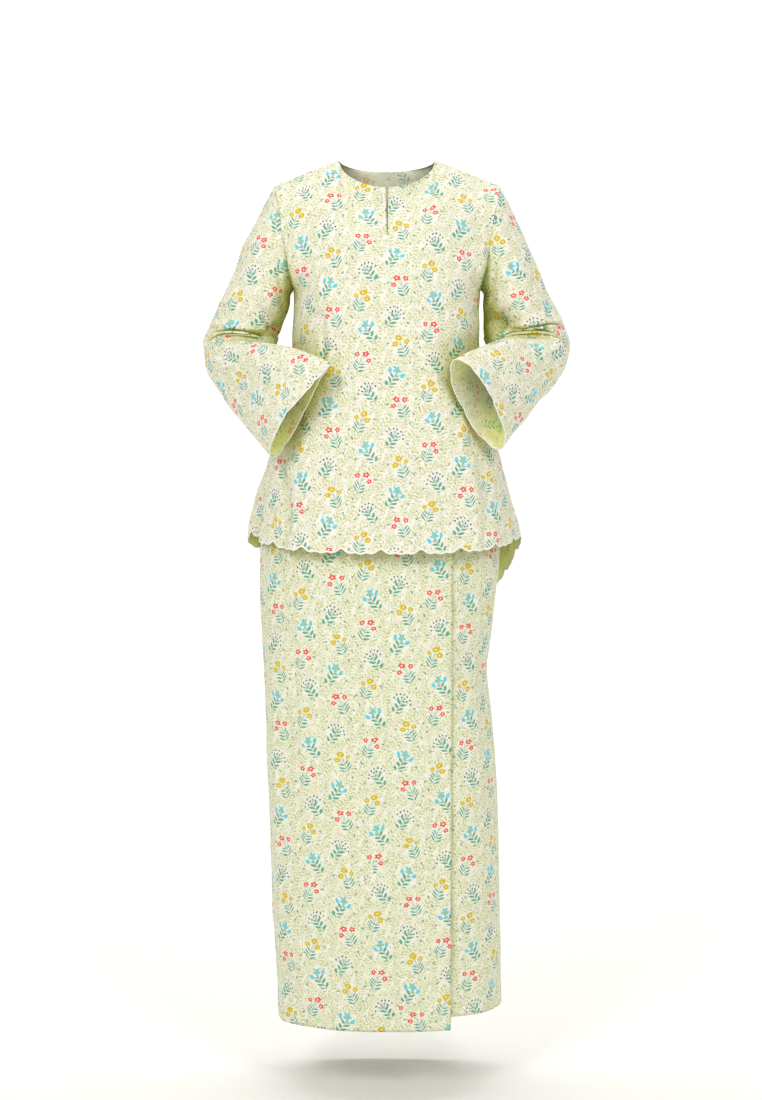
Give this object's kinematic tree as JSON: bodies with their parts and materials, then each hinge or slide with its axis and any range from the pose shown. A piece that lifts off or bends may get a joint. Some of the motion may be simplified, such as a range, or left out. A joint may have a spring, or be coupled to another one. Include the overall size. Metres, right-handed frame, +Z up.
{
  "type": "baju kurung set of tunic and wrap skirt",
  "caption": "Worn dress set: a straight round-neck tunic with bell sleeves and a scalloped hem over an ankle-length front-wrapped skirt.",
  "frame": {"origin": "middle of the neck opening, level with the neck ends of the shoulder seams, where the wearer's shoulders carry the tunic", "axes": "+Z up, +X across the shoulders, -Y is the front of the garment"},
  "size_m": [0.5949, 0.3425, 1.3895],
  "materials": {
    "printed_cotton": "matte plain-weave cotton, cream with a small floral print",
    "white_stitching": "white satin-stitched scalloped edge"
  },
  "bodies": {
    "root": {"tunic_front": "printed_cotton", "tunic_back": "printed_cotton", "sleeve_left": "printed_cotton", "sleeve_right": "printed_cotton", "hem_edging_front": "white_stitching", "hem_edging_back": "white_stitching", "cuff_edging_left": "white_stitching", "cuff_edging_right": "white_stitching", "skirt_back": "printed_cotton", "skirt_over_wrap": "printed_cotton", "skirt_under_wrap": "printed_cotton", "skirt_waistband": "printed_cotton"}
  },
  "joints": []
}
